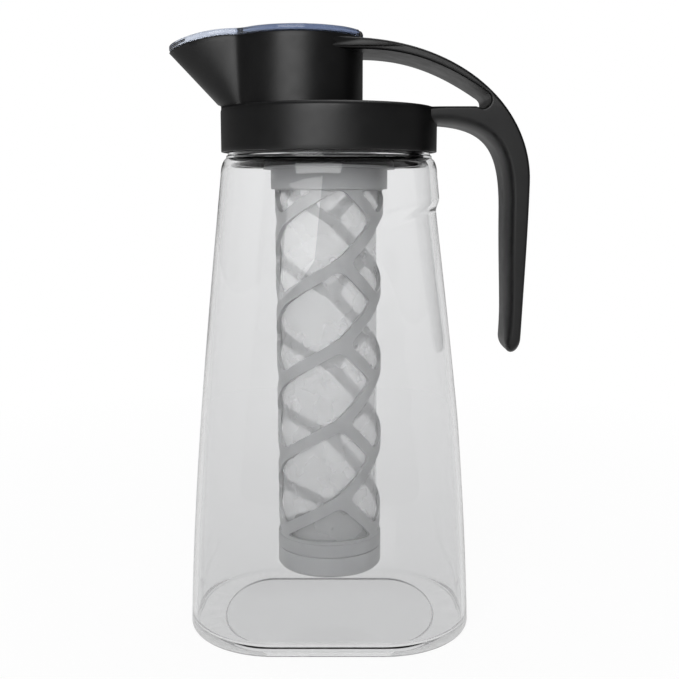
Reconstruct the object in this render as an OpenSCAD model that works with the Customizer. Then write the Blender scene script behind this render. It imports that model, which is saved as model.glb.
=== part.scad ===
// Iced tea pitcher with a flip cover and a lift-out infuser, in millimetres.
// The jug stands on z = 0 with its axis on z. The handle points to +x and the spout to -x.

/* [Jug] */
// Height of the jug from the table to the top of its shoulder
jug_h = 233; // [200:1:260]
// Width of the base from left to right
base_w = 141; // [120:1:170]
// How much less deep the base is than the shoulder, from front to back
base_set_in = 1.5; // [0:0.5:12]
// Straight stretch of the base's front and back sides
base_flat_w = 52; // [30:1:70]
// Straight stretch of the base's left and right sides
base_flat_d = 10; // [4:1:20]
// Thickness of the jug's wall
wall = 2.5; // [1.5:0.1:4]
// Thickness of the jug's floor over the raised panel
floor_t = 2.8; // [2:0.1:6]
// Round of the jug's bottom edge
foot_r = 2; // [1.5:0.1:5]
// Width of the raised panel under the base
panel_w = 106; // [80:1:112]
// Depth of the raised panel under the base
panel_d = 80; // [50:1:82]
// Straight stretch of the panel's front and back sides
panel_flat_w = 62; // [20:1:70]
// Height of the raised panel above the table
panel_h = 1.2; // [0.6:0.1:4]
// Depth of the knuckle recess on the handle's side
knuckle_depth = 2.2; // [0:0.1:3]
// Height of the recess's upper edge
knuckle_top = 211; // [180:1:212]
// Height where the recess has faded out
knuckle_bottom = 105; // [60:1:140]

/* [Neck] */
// Outer diameter of the neck
neck_d = 98; // [90:0.5:110]
// Thickness of the neck's wall
neck_wall = 2.6; // [2:0.1:4]
// How far the shoulder stands out beyond the neck
shoulder_step = 3.5; // [2:0.1:6]
// Height of the shoulder's round
shoulder_round = 8; // [4:0.5:14]
// How far the locking lugs stand out of the neck
lug_t = 0.9; // [0.6:0.1:1.5]
// Height of a locking lug
lug_h = 3; // [2:0.1:5]

/* [Lid] */
// Gap between the shoulder and the collar
collar_gap = 2.8; // [1:0.1:6]
// Height of the collar
collar_h = 21.1; // [16:0.1:28]
// Thickness of the collar's wall
collar_wall = 1.8; // [1.4:0.1:3]
// Round of the collar's top edge
collar_round = 2.4; // [1:0.1:2.8]
// Thickness of the deck
deck_t = 3; // [2.9:0.1:4]
// Outer diameter of the pouring chamber
chamber_d = 61.6; // [54:0.2:66]
// How far the chamber's axis lies from the jug's axis towards the spout
chamber_shift = 14.5; // [8:0.5:18]
// Height of the chamber above the deck
chamber_h = 32.1; // [24:0.1:42]
// Thickness of the chamber's and spout's walls
lid_wall = 2.2; // [1.6:0.1:3]
// Distance from the jug's axis to the spout's tip
spout_reach = 76.4; // [68:0.2:88]
// Width of the spout where it leaves the chamber
spout_w = 33.5; // [24:0.5:34]
// How far the rim drops at the spout's tip
spout_drop = 6; // [2:0.1:9]
// Thickness of the pour cover
cover_t = 2.9; // [2.2:0.1:4]
// Length of the hinge barrel on the cover
hinge_len = 12; // [8:0.5:16]
// Thickness of each hinge ear on the lid
ear_t = 3.4; // [2:0.1:5]
// Diameter of the hinge pin
pin_d = 2; // [1.6:0.1:2.4]

/* [Handle] */
// How far the grip's outer face stands out from the collar
grip_out = 42.6; // [36:0.2:56]
// Thickness of the grip from front face to finger side
grip_t = 10.2; // [7:0.2:12]
// Height of the grip's lower end above the table
grip_bottom = 138.8; // [110:0.2:160]
// Width of the handle at its arch
handle_w = 43; // [34:0.5:48]
// Width of the handle at the grip's lower end
grip_w = 30; // [22:0.5:36]
// Thickness of the arch
arch_t = 5.4; // [3:0.1:6.5]
// Thickness of the strut that goes to the collar
strut_t = 7.2; // [5:0.1:10]

/* [Infuser] */
// Inner radius of the infuser's frame
frame_ri = 24.3; // [20:0.1:26]
// Thickness of the lattice at its top
rib_t = 2.2; // [1.4:0.1:3]
// Thickness of the lattice at its bottom
rib_t_low = 1.5; // [1.2:0.1:2]
// Width of a rib
rib_w = 5.5; // [4:0.1:7]
// Height from one row of rib joints to the next
row_pitch = 38.4; // [36:0.1:40]
// Height of the infuser's lower end above the jug's floor
infuser_clear = 25.4; // [21:0.1:40]
// Height of the infuser's cap
cap_h = 10.2; // [7:0.1:14]
// How far the infuser's top reaches into its socket
socket_depth = 15; // [12:0.5:17]
// Thickness of the socket's wall
socket_wall = 3; // [2.6:0.1:4]
// Thickness of the mesh sleeve
mesh_t = 0.6; // [0.4:0.1:1]
// Gap between the mesh sleeve and the frame around it
mesh_clear = 0.5; // [0.5:0.05:0.8]

/* [Clearances] */
// Radial gap between pieces that turn or slide on each other
turn_clear = 0.4; // [0.3:0.05:0.6]
// Gap between pieces that are fixed to each other
seat_clear = 0.05; // [0.02:0.01:0.1]
// Radial gap of the hinge pin in the cover's knuckle
pin_clear = 0.06; // [0.02:0.01:0.1]
// Gap between the pour cover and the rim it rests on
cover_clear = 0.15; // [0.1:0.05:0.4]

/* [Hidden] */
$fn = 96;
eps = 0.01;
// How far a cut runs past what it cuts
over = 1;
lug_count = 3;

// Radii and heights that follow from the sizes above
neck_r = neck_d / 2;
bore_r = neck_r - neck_wall;
shoulder_r = neck_r + shoulder_step;
collar_ri = neck_r + lug_t + turn_clear;
collar_r = collar_ri + collar_wall;
z_collar = jug_h + collar_gap;
z_deck = z_collar + collar_h;
z_under = z_deck - deck_t;
z_neck = z_under - turn_clear;
z_rim = z_deck + chamber_h;
z_cover = z_rim + cover_clear;
chamber_r = chamber_d / 2;
chamber_ri = chamber_r - lid_wall;
chamber_x = -chamber_shift;

// Points of a cubic curve
function curve(a, b, c, d, n) = [
  for (i = [0:n])
    let (t = i / n, u = 1 - t)
    u * u * u * a + 3 * u * u * t * b + 3 * u * t * t * c + t * t * t * d
];
function clamp01(v) = max(0, min(1, v));
function ease(v) = let (t = clamp01(v)) t * t * (3 - 2 * t);

// Closed skin over a stack of rings that all have the same number of points
module ring_stack(rings) {
  n = len(rings[0]);
  last = len(rings) - 1;
  sides = [
    for (k = [0:last - 1], i = [0:n - 1])
      let (j = (i + 1) % n, p = k * n, q = p + n)
      each [[p + i, q + j, p + j], [p + i, q + i, q + j]]
  ];
  first_cap = [for (i = [0:n - 1]) i];
  last_cap = [for (i = [n - 1:-1:0]) last * n + i];
  polyhedron([for (r = rings) each r], concat([first_cap, last_cap], sides), convexity = 6);
}

// Jug: each level is a rectangle with elliptical corners, and is round at the shoulder
corner_steps = 13;
least_square = 0.02;
side_slope_base = -0.03;
side_slope_shoulder = -0.105;
z_round = jug_h - shoulder_round;

function half_w(z) =
  let (t = clamp01(z / z_round), s = t * t, c = s * t)
  (2 * c - 3 * s + 1) * base_w / 2 + (c - 2 * s + t) * z_round * side_slope_base
  + (3 * s - 2 * c) * shoulder_r + (c - s) * z_round * side_slope_shoulder;
function half_d(z) = shoulder_r - base_set_in / 2 * (1 - clamp01(z / z_round));
function squareness(z) = max(least_square, 1 - z / z_round);

// Loop of half width a and half depth b, with straight stretches sx and sy from its middle
function loop(a, b, sx, sy, z) = [
  for (q = [0:3], i = [0:corner_steps])
    let (f = 90 * (q + i / corner_steps), mx = q == 0 || q == 3 ? 1 : -1, my = q < 2 ? 1 : -1)
    [mx * sx + (a - sx) * cos(f), my * sy + (b - sy) * sin(f), z]
];

// Knuckle recess: deepest on the handle's side, with an upper edge that arcs down to the front
knuckle_span = 62;
knuckle_dip = 9;
knuckle_lip = 8;
knuckle_fade = 24;
function knuckle(p) =
  let (a = abs(atan2(p.y, p.x)), edge = knuckle_top - knuckle_dip * pow(a / knuckle_span, 2))
  knuckle_depth * ease((edge - p.z) / knuckle_lip + 0.5)
  * clamp01((p.z - knuckle_bottom) / (knuckle_top - knuckle_bottom))
  * ease((knuckle_span - a) / knuckle_fade);
function dented(ring) = [
  for (p = ring)
    let (r = norm([p.x, p.y]), k = (r - knuckle(p)) / r)
    [p.x * k, p.y * k, p.z]
];
function wall_ring(z, inset) =
  let (s = squareness(z))
  dented(loop(half_w(z) - inset, half_d(z) - inset, s * base_flat_w / 2, s * base_flat_d / 2, z));
function panel_ring(grow, z) =
  loop(panel_w / 2 + grow, panel_d / 2 + grow, panel_flat_w / 2, least_square, z);
function shoulder_ring(a, inset) =
  let (r = neck_r + neck_trim + (shoulder_step - neck_trim) * cos(a) - inset)
  loop(r, r, least_square, least_square, z_round + (shoulder_round - inset * shoulder_share) * sin(a));
neck_trim = 0.3;
shoulder_share = 0.6;
panel_edge = 0.8;
z_floor = panel_h + floor_t;

// Heights of the jug's rings, closer together at the recess's upper edge
lip_step = 4;
lip_side = 3;
low_levels = 8;
lip_low = knuckle_top - (lip_side + 1) * lip_step;
lip_high = knuckle_top + lip_side * lip_step;
wall_levels = concat(
  [for (k = [1:low_levels - 1]) foot_r + k * (lip_low - foot_r) / low_levels],
  [for (k = [-lip_side:lip_side]) knuckle_top + k * lip_step],
  [(lip_high + z_round) / 2]
);
shoulder_angles = [0, 22.5, 45, 67.5, 90];
foot_angles = [0, 30, 60, 90];
inner_foot = foot_r + 1;

module jug_shell() {
  ring_stack(concat(
    [panel_ring(0, panel_h), panel_ring(panel_edge, 0)],
    [for (a = foot_angles) wall_ring(foot_r * (1 - cos(a)), foot_r * (1 - sin(a)))],
    [for (z = wall_levels) wall_ring(z, 0)],
    [for (a = shoulder_angles) shoulder_ring(a, 0)],
    [for (k = [len(shoulder_angles) - 1:-1:0]) shoulder_ring(shoulder_angles[k], wall)],
    [for (k = [len(wall_levels) - 1:-1:0]) wall_ring(wall_levels[k], wall)],
    [for (a = foot_angles)
      wall_ring(z_floor + inner_foot * (1 - sin(a)), wall + inner_foot * (1 - cos(a)))]
  ));
}

// Lugs spread around the z axis, each an arc of the given angle
module lugs(r0, r1, z, h, angle, turn) {
  for (k = [0:lug_count - 1])
    rotate([0, 0, k * 360 / lug_count + turn - angle / 2])
      rotate_extrude(angle = angle)
        translate([r0, z])
          square([r1 - r0, h]);
}

neck_sink = 1.4;
neck_lug_angle = 38;
bead_h = 1.3;
bead_t = 0.7;
module jug_body() {
  color([0.86, 0.87, 0.88, 0.4]) {
    jug_shell();
    rotate_extrude()
      polygon([
        [bore_r, jug_h - neck_sink], [neck_r + bead_t, jug_h - neck_sink],
        [neck_r + bead_t, jug_h + bead_h], [neck_r, jug_h + bead_h], [neck_r, z_neck], [bore_r, z_neck]
      ]);
    lugs(neck_r - neck_wall / 2, neck_r + lug_t, z_collar + collar_h / 3, lug_h, neck_lug_angle, 0);
  }
}

// Spout: straight rulings from an elliptical foot on the deck up to an elliptical rim
spout_sink = 0.6;
spout_x = chamber_x - sqrt(chamber_r * chamber_r - spout_w * spout_w / 4) + spout_sink;
spout_steps = 20;
foot_sink = 1.5;
dip_back = 3.5;
dip_start = spout_x - dip_back;
keel_share = 1.45;
keel_t = lid_wall * keel_share;
function rim_z(x) = z_rim - spout_drop * pow(clamp01((dip_start - x) / (dip_start + spout_reach)), 2);
function nose(len_x, half_y, a) = [spout_x - len_x * cos(a), half_y * sin(a)];

// Solid between a lower and an upper half loop, mirrored about y = 0
module nose_solid(low, high) {
  n = len(low);
  sides = [for (i = [0:n - 2]) each [[i, i + 1, n + i + 1], [i, n + i + 1, n + i]]];
  half = (n - 1) / 2;
  floors = [for (i = [0:half - 1]) let (j = n - 1 - i) each [[i, j, i + 1], [i + 1, j, j - 1]]];
  roofs = [for (f = floors) [n + f[0], n + f[2], n + f[1]]];
  back = [[0, n, n + n - 1], [0, n + n - 1, n - 1]];
  polyhedron(concat(low, high), concat(sides, floors, roofs, back), convexity = 4);
}
nose_angles = [for (i = [0:spout_steps]) -90 + 180 * i / spout_steps];

// Spout from height z0 to the given rise above the rim, its sides set in by inset and its nose by keel
module spout_form(inset, keel, z0, rise) {
  foot_len = collar_r + spout_x;
  rim_len = spout_reach + spout_x;
  half = spout_w / 2 - inset;
  rows = [
    for (a = nose_angles)
      let (
        f = nose(foot_len - keel, half, a),
        r = nose(rim_len - keel, half, a),
        zr = rim_z(r.x),
        at = function (z) let (t = (z - z_deck) / (zr - z_deck)) [f.x + (r.x - f.x) * t, f.y, z]
      )
      [at(z0), at(zr + rise)]
  ];
  nose_solid([for (r = rows) r[0]], [for (r = rows) r[1]]);
}

// Hinge of the pour cover, at the back of the chamber's rim
barrel_r = 2.1;
hinge_x = chamber_x + chamber_r - barrel_r;
hinge_z = z_cover + cover_t - barrel_r;
notch_clear = 0.35;
ear_trim = 0.3;
ear_r = barrel_r - ear_trim;
ear_y = hinge_len / 2 + notch_clear;
ear_sink = 4;
module along_y(r, y0, y1) {
  translate([hinge_x, y1, hinge_z])
    rotate([90, 0, 0])
      cylinder(r = r, h = y1 - y0);
}
module hinge_ears() {
  for (y = [-ear_y - ear_t, ear_y]) {
    along_y(ear_r, y, y + ear_t);
    intersection() {
      translate([hinge_x - ear_r, y, z_rim - ear_sink])
        cube([2 * ear_r, ear_t, hinge_z - z_rim + ear_sink]);
      translate([chamber_x, 0, z_rim - ear_sink - over])
        cylinder(r = chamber_r, h = hinge_z);
    }
  }
}

plate_t = 3;
z_plate = z_under - plate_t;
module lid_body() {
  color([0.07, 0.07, 0.075])
    difference() {
      union() {
        rotate_extrude()
          polygon(concat(
            [[0, z_under], [collar_ri, z_under], [collar_ri, z_collar], [collar_r, z_collar]],
            [for (a = [0:15:90])
              [collar_r - collar_round * (1 - cos(a)), z_deck - collar_round * (1 - sin(a))]],
            [[0, z_deck]]
          ));
        translate([chamber_x, 0, z_deck - foot_sink])
          cylinder(r = chamber_r, h = chamber_h + foot_sink);
        spout_form(0, 0, z_deck - foot_sink, 0);
        hinge_ears();
      }
      translate([chamber_x, 0, z_under - over])
        cylinder(r = chamber_ri, h = chamber_h + deck_t + over - ear_sink);
      translate([chamber_x, 0, z_rim - ear_sink - eps])
        difference() {
          cylinder(r = chamber_ri, h = ear_sink + over);
          for (y = [-ear_y - ear_t, ear_y])
            translate([hinge_x - ear_r - chamber_x, y, -over])
              cube([3 * ear_r, ear_t, ear_sink + 3 * over]);
        }
      spout_form(lid_wall, keel_t, z_deck, over);
      translate([hinge_x - barrel_r - notch_clear, -ear_y, hinge_z - barrel_r - notch_clear])
        cube([3 * barrel_r, 2 * ear_y, 3 * barrel_r]);
      along_y(pin_d / 2, -ear_y - ear_t - over, ear_y + ear_t + over);
    }
}

// Inner moulding that closes the neck, carries the seal and holds the infuser
plug_r = bore_r - turn_clear;
skirt_t = 2.2;
skirt_h = 18;
groove_h = 4;
groove_t = 1.1;
groove_drop = 6;
groove_z = z_plate - groove_drop;
socket_room = 4.5;
socket_ri = frame_ri + socket_room;
socket_r = socket_ri + socket_wall;
band_r = socket_ri - turn_clear;
socket_drop = 5;
z_socket = z_collar - socket_drop;
lock_t = 1.5;
lock_h = 3.2;
lock_rise = 7.4;
lock_z = z_socket + lock_rise;
lock_angle = 30;
lock_turn = 45;
slot_angle = 34;
pour_slots = 3;
pour_edge = 1.5;
pour_r0 = socket_r + pour_edge;
pour_r1 = min(plug_r - skirt_t - pour_edge, chamber_shift + chamber_ri - 2 * pour_edge);
pour_span = 13;
pour_step = 16;
module lid_plug() {
  color([0.09, 0.09, 0.095])
    difference() {
      rotate_extrude()
        polygon([
          [0, z_plate], [socket_ri, z_plate], [socket_ri, lock_z + lock_h + turn_clear],
          [socket_ri + lock_t, lock_z + lock_h + turn_clear], [socket_ri + lock_t, lock_z - turn_clear],
          [socket_ri, lock_z - turn_clear], [socket_ri, z_socket], [socket_r, z_socket],
          [socket_r, z_plate], [plug_r - skirt_t, z_plate], [plug_r - skirt_t, z_plate - skirt_h],
          [plug_r, z_plate - skirt_h], [plug_r, groove_z - groove_h],
          [plug_r - groove_t, groove_z - groove_h], [plug_r - groove_t, groove_z], [plug_r, groove_z],
          [plug_r, z_under - seat_clear], [0, z_under - seat_clear]
        ]);
      lugs(socket_ri - over, socket_ri + lock_t + turn_clear, z_socket - over, lock_z - z_socket + 2 * over,
           slot_angle, lock_turn);
      for (k = [0:pour_slots - 1])
        rotate([0, 0, 180 + (k - (pour_slots - 1) / 2) * pour_step - pour_span / 2])
          rotate_extrude(angle = pour_span)
            translate([pour_r0, z_plate - over])
              square([pour_r1 - pour_r0, plate_t + 2 * over]);
    }
}

// Seal: a ring in the plug's groove, with two lips that meet the neck's bore
lip_h = 1.2;
lip_back = 0.25;
module lid_seal() {
  r0 = plug_r - groove_t + seat_clear;
  r1 = bore_r - seat_clear;
  z0 = groove_z - groove_h + seat_clear;
  z1 = groove_z - seat_clear;
  color([0.75, 0.76, 0.76])
    rotate_extrude()
      polygon([
        [r0, z0], [r1 - lip_back, z0], [r1, z0 + lip_h / 2], [r1 - lip_back, z0 + lip_h],
        [r1 - lip_back, z1 - lip_h], [r1, z1 - lip_h / 2], [r1 - lip_back, z1], [r0, z1]
      ]);
}

// Handle: side outline with a three-cornered opening, narrowed from the arch to the grip
arch_drop = 1.5;
z_arch = z_rim - arch_drop;
strut_drop = 0.5;
z_strut = z_deck - strut_drop;
grip_x = collar_r + grip_out;
grip_in = grip_x - grip_t;
arch_sink = 9;
arch_x = chamber_x + chamber_r - arch_sink;
strut_sink = 8;
strut_x = collar_r - strut_sink;
bend_drop = 35;
bend_z = z_strut - bend_drop;
bend_in_drop = 50;
bend_in_z = z_strut - bend_in_drop;
arch_pull = 0.62;
bend_pull = 0.52;
web_pull = 0.82;
web_rise = 0.78;
curve_steps = 14;

// Lower end of the grip
tip_slant = 1.6;
tip_in = 1.2;
tip_rise = 7.5;
tip_out_x = grip_x - tip_slant;
tip_in_x = grip_in + tip_in;
tip_x = (tip_out_x + tip_in_x) / 2;
tip_steps = 5;
round_pull = 0.55;

// Opening under the arch, with a round pocket at its far end
pocket_r = 4;
pocket_back = 23.4;
pocket_x = grip_x - pocket_back;
pocket_dip = 0.9;
pocket_z = z_strut - pocket_dip + pocket_r;
slope_angle = 53;
pocket_step = 15;
opening_back = 3;
opening_x = arch_x - opening_back;
opening_z = z_arch - arch_t;
opening_pull = 20;
slope_pull = 28;
slope_rise = 1.2;

function outer_edge() =
  curve([arch_x, z_arch], [arch_x + arch_pull * (grip_x - arch_x), z_arch],
        [grip_x, bend_z + bend_pull * (z_arch - bend_z)], [grip_x, bend_z], curve_steps);
function quarter(p, corner, q) =
  curve(p, p + round_pull * (corner - p), q + round_pull * (corner - q), q, tip_steps);
function grip_end() = concat(
  quarter([tip_out_x, grip_bottom + tip_rise], [tip_out_x, grip_bottom], [tip_x, grip_bottom]),
  quarter([tip_x, grip_bottom], [tip_in_x, grip_bottom], [tip_in_x, grip_bottom + tip_rise])
);
function inner_edge() =
  curve([grip_in, bend_in_z], [grip_in, bend_in_z + web_rise * (z_strut - strut_t - bend_in_z)],
        [strut_x + web_pull * (grip_in - strut_x), z_strut - strut_t],
        [strut_x, z_strut - strut_t], curve_steps);
function pocket_pt(a) = [pocket_x + pocket_r * cos(a), pocket_z + pocket_r * sin(a)];
function opening_edge() = concat(
  curve([opening_x, opening_z], [opening_x + opening_pull, opening_z],
        [pocket_x - slope_pull, opening_z + slope_rise], pocket_pt(slope_angle), curve_steps),
  [for (a = [slope_angle - pocket_step:-pocket_step:-90]) pocket_pt(a)],
  [[strut_x, z_strut], [opening_x, z_strut]]
);
module side_outline() {
  polygon(concat(outer_edge(), grip_end(), inner_edge(), [[strut_x, z_strut], [arch_x, z_strut]]));
}
module handle() {
  color([0.08, 0.08, 0.085])
    difference() {
      intersection() {
        translate([0, handle_w / 2, 0])
          rotate([90, 0, 0])
            linear_extrude(handle_w)
              difference() {
                side_outline();
                polygon(opening_edge());
              }
        rotate([90, 0, 90])
          linear_extrude(grip_x + over)
            polygon([
              [-grip_w / 2, grip_bottom - over], [grip_w / 2, grip_bottom - over], [handle_w / 2, z_strut],
              [handle_w / 2, z_arch + over], [-handle_w / 2, z_arch + over], [-handle_w / 2, z_strut]
            ]);
      }
      cylinder(r = collar_r + seat_clear, h = z_deck + over);
      translate([chamber_x, 0, 0])
        cylinder(r = chamber_r + seat_clear, h = z_rim + over);
    }
}

// Pour cover: a plate over the chamber and the spout, with a knuckle on the hinge pin
module cover_nose() {
  rim_len = spout_reach + spout_x;
  rim = [for (a = nose_angles) nose(rim_len, spout_w / 2, a)];
  nose_solid(
    [for (p = rim) [p.x, p.y, rim_z(p.x) + cover_clear]],
    [for (p = rim) [p.x, p.y, rim_z(p.x) + cover_clear + cover_t]]
  );
}
module pour_cover() {
  gap = ear_y + ear_t + notch_clear;
  color([0.55, 0.62, 0.78, 0.5])
    difference() {
      union() {
        difference() {
          union() {
            translate([chamber_x, 0, z_cover])
              cylinder(r = chamber_r, h = cover_t);
            cover_nose();
          }
          translate([hinge_x - barrel_r - notch_clear, -gap, z_cover - over])
            cube([4 * barrel_r, 2 * gap, cover_t + 2 * over]);
        }
        along_y(barrel_r, -hinge_len / 2, hinge_len / 2);
        translate([hinge_x - 2 * barrel_r, -hinge_len / 2, z_cover])
          cube([2 * barrel_r, hinge_len, cover_t]);
      }
      along_y(pin_d / 2 + pin_clear, -gap, gap);
    }
}
module cover_hinge_pin() {
  color([0.7, 0.7, 0.72])
    along_y(pin_d / 2, -ear_y - ear_t, ear_y + ear_t);
}

// Infuser heights
z_cap = z_floor + infuser_clear;
z_seam = z_cap + cap_h;
z_top = z_socket + socket_depth;
band_h = 12.5;
z_band = z_socket - band_h;
flange_t = 1.7;
flange_clear = 0.1;
flange_r = socket_r + turn_clear;
z_flange = z_socket - flange_clear - flange_t;
low_band_h = 6.6;
z_low = z_seam + low_band_h;
ring_sink = 1.6;
ring_gap_top = 0.4;
z_ring_top = z_band - ring_gap_top;
ring_gap_low = 1.5;
z_ring_low = z_low + ring_gap_low;
band_lip = 0.3;

// Lattice: joints A and B in three columns, drawn on the unrolled tube as [arc length, height]
columns = 3;
rows = floor((z_ring_top - z_ring_low) / row_pitch + 0.5);
lat_r = frame_ri + rib_t / 2;
girth = 2 * PI * lat_r;
angle_a = 13.6;
angle_b = 59.6;
joint_a = angle_a / 360 * girth;
joint_b = angle_b / 360 * girth;
half_rib = rib_w / 2;
corner_len = 4;
corner_n = 2;
straight_n = 5;
band_n = 9;
across_n = 2;
first_rise = 4.4;
z_first = z_ring_top + first_rise;
function za(k) = z_first - k * row_pitch;
function va(c, k) = [joint_a + c * girth / columns, za(k)];
function vb(c, k) = [joint_b + c * girth / columns, za(k) - row_pitch / 2];
function unit(v) = v / norm(v);
function left_of(d) = [-d.y, d.x];
function cross2(a, b) = a.x * b.y - a.y * b.x;

// Window corner at joint v between ribs to p and to q, going anticlockwise: [corner, dir to p, dir to q]
function corner(v, p, q) =
  let (d = unit(p - v), e = unit(q - v), off = -half_rib * (left_of(e) + left_of(d)))
  [v + half_rib * left_of(d) + d * cross2(off, e) / cross2(d, e), d, e];
// Corner where one side of the rib from v to p meets the edge of a band at height z
function band_corner(v, p, side, z, dir) =
  let (d = unit(p - v), s = v + side * half_rib * left_of(d))
  [s + d * (z - s.y) / d.y, d, dir];
function turned(c) = [c[0], c[2], c[1]];
function round_pt(c, t) =
  let (u = 1 - t)
  c[0] + corner_len * (u * u * c[1] + t * t * c[2]);
// Edge of a rib from the middle of one rounded corner to the middle of the next
function edge(c, e, n = straight_n) = concat(
  [for (i = [0:corner_n]) round_pt(c, 0.5 - 0.5 * i / corner_n)],
  [for (i = [1:n - 1])
    let (t = i / n) round_pt(c, 0) * (1 - t) + round_pt(e, 0) * t],
  [for (i = [corner_n:-1:0]) round_pt(e, 0.5 - 0.5 * i / corner_n)]
);
// The corners at joints A: right, below and upper left; at joints B: above, left and lower right
function a_right(c, k) = k == 0
  ? band_corner(va(c, k), vb(c, k), 1, z_ring_top, [1, 0])
  : corner(va(c, k), vb(c, k), vb(c, k - 1));
function a_below(c, k) = corner(va(c, k), vb(c - 1, k), vb(c, k));
function a_upper(c, k) = k == 0
  ? turned(band_corner(va(c, k), vb(c - 1, k), -1, z_ring_top, [-1, 0]))
  : corner(va(c, k), vb(c, k - 1), vb(c - 1, k));
function b_above(c, k) = corner(vb(c, k), va(c + 1, k), va(c, k));
function b_left(c, k) = k == rows
  ? band_corner(vb(c, k), va(c, k), 1, z_ring_low, [-1, 0])
  : corner(vb(c, k), va(c, k), va(c, k + 1));
function b_lower(c, k) = k == rows
  ? turned(band_corner(vb(c, k), va(c + 1, k), -1, z_ring_low, [1, 0]))
  : corner(vb(c, k), va(c, k + 1), va(c + 1, k));

// Ribs as pairs of edges, the first on the left of the way along the rib
function ribs() = [
  for (c = [0:columns - 1]) each concat(
    [for (k = [0:rows])
      [edge(a_right(c, k), turned(b_above(c, k))), edge(turned(a_below(c, k)), b_left(c, k))]],
    [for (k = [0:rows])
      [edge(a_below(c, k), turned(b_lower(c - 1, k))), edge(turned(a_upper(c, k)), b_above(c - 1, k))]],
    [for (k = [0:rows - 1])
      [edge(b_lower(c, k), turned(a_right(c, k + 1))), edge(turned(b_left(c, k)), a_upper(c, k + 1))]]
  )
];

// The lattice goes on inside the two bands, up and down to these heights
z_lat_top = z_band + ring_sink;
z_lat_low = z_low - ring_sink;
function at_z(p, z) = [p.x, z];
function band_parts() = [
  for (c = [0:columns - 1]) each [
    let (e = edge(turned(a_right(c, 0)), a_upper(c + 1, 0), band_n))
    [[for (p = e) at_z(p, z_lat_top)], e],
    let (e = edge(b_lower(c, rows), turned(b_left(c + 1, rows)), band_n))
    [e, [for (p = e) at_z(p, z_lat_low)]]
  ]
];

// Patches where ribs join each other, and pairs of edges where ribs join a band
function mid(c) = round_pt(c, 0.5);
function joints() = [
  for (c = [0:columns - 1]) each concat(
    [for (k = [1:rows]) [mid(a_right(c, k)), mid(a_upper(c, k)), mid(a_below(c, k))]],
    [for (k = [0:rows - 1]) [mid(b_above(c, k)), mid(b_left(c, k)), mid(b_lower(c, k))]]
  )
];
function bent_edge(a, b, c) = [a, (a + b) / 2, b, (b + c) / 2, c];
function top_joints() = [
  for (c = [0:columns - 1])
    let (e = bent_edge(mid(a_upper(c, 0)), mid(a_below(c, 0)), mid(a_right(c, 0))))
    [[for (p = e) at_z(p, z_lat_top)], e]
];
function low_joints() = [
  for (c = [0:columns - 1])
    let (e = bent_edge(mid(b_left(c, rows)), mid(b_above(c, rows)), mid(b_lower(c, rows))))
    [e, [for (p = e) at_z(p, z_lat_low)]]
];

// From the unrolled tube to the round one
snap = 10000;
function rib_r(z) = frame_ri + rib_t_low + (rib_t - rib_t_low) * (z - z_low) / (z_band - z_low);
function wrap(p, r) =
  let (a = p.x / lat_r * 180 / PI)
  [round(r * sin(a) * snap) / snap, round(-r * cos(a) * snap) / snap, round(p.y * snap) / snap];
function outside(p) = wrap(p, rib_r(p.y));
function inside(p) = wrap(p, frame_ri);
function facet(a, b, c) = [[outside(a), outside(c), outside(b)], [inside(a), inside(b), inside(c)]];
function wall_facets(a, b) = [
  [outside(b), outside(a), inside(b)],
  [inside(b), outside(a), inside(a)]
];
function across(a, b) = [for (j = [0:across_n]) (a * (across_n - j) + b * j) / across_n];
function sheet_facets(l, r) = [
  for (i = [0:len(l) - 2], j = [0:across_n - 1])
    let (p = across(l[i], r[i]), q = across(l[i + 1], r[i + 1]))
    each concat(facet(p[j], p[j + 1], q[j + 1]), facet(p[j], q[j + 1], q[j]))
];
function left_wall(l) = [for (i = [0:len(l) - 2]) each wall_facets(l[i], l[i + 1])];
function right_wall(r) = [for (i = [0:len(r) - 2]) each wall_facets(r[i + 1], r[i])];
function joint_facets(t) =
  let (g = (t[0] + t[1] + t[2]) / 3)
  [for (i = [0:2])
    let (a = t[i], b = t[(i + 1) % 3], m = (a + b) / 2)
    each concat(facet(g, a, m), facet(g, m, b))];
module lattice() {
  tris = concat(
    [for (s = concat(ribs(), band_parts()))
      each concat(sheet_facets(s[0], s[1]), left_wall(s[0]), right_wall(s[1]))],
    [for (s = top_joints()) each concat(sheet_facets(s[0], s[1]), left_wall(s[0]))],
    [for (s = low_joints()) each concat(sheet_facets(s[0], s[1]), right_wall(s[1]))],
    [for (t = joints()) each joint_facets(t)]
  );
  corners = [for (t = tris) each t];
  polyhedron(corners, [for (i = [0:3:len(corners) - 1]) [i, i + 1, i + 2]], convexity = 10);
}

cap_r = rib_r(z_seam) + band_lip;
module infuser_frame() {
  color([0.45, 0.46, 0.47]) {
    lattice();
    rotate_extrude()
      polygon([
        [frame_ri - seat_clear, z_band], [band_r, z_band], [band_r, z_flange], [flange_r, z_flange],
        [flange_r, z_flange + flange_t], [band_r, z_flange + flange_t], [band_r, z_top],
        [frame_ri - seat_clear, z_top]
      ]);
    rotate_extrude()
      polygon([
        [frame_ri - seat_clear, z_seam + seat_clear], [cap_r, z_seam + seat_clear],
        [cap_r, z_low], [frame_ri - seat_clear, z_low]
      ]);
    lugs(band_r - over, socket_ri + lock_t - turn_clear, lock_z, lock_h, lock_angle, 0);
  }
}
mesh_r = frame_ri - mesh_clear;
mesh_rise = 0.4;
z_mesh = z_low + mesh_rise;
module infuser_mesh() {
  color([0.6, 0.61, 0.62])
    translate([0, 0, z_mesh])
      difference() {
        cylinder(r = mesh_r, h = z_top - z_mesh);
        translate([0, 0, -over])
          cylinder(r = mesh_r - mesh_t, h = z_top - z_mesh + 2 * over);
      }
}
cap_floor_t = 2;
spigot_t = 1.8;
cap_bevel = 1;
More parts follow.
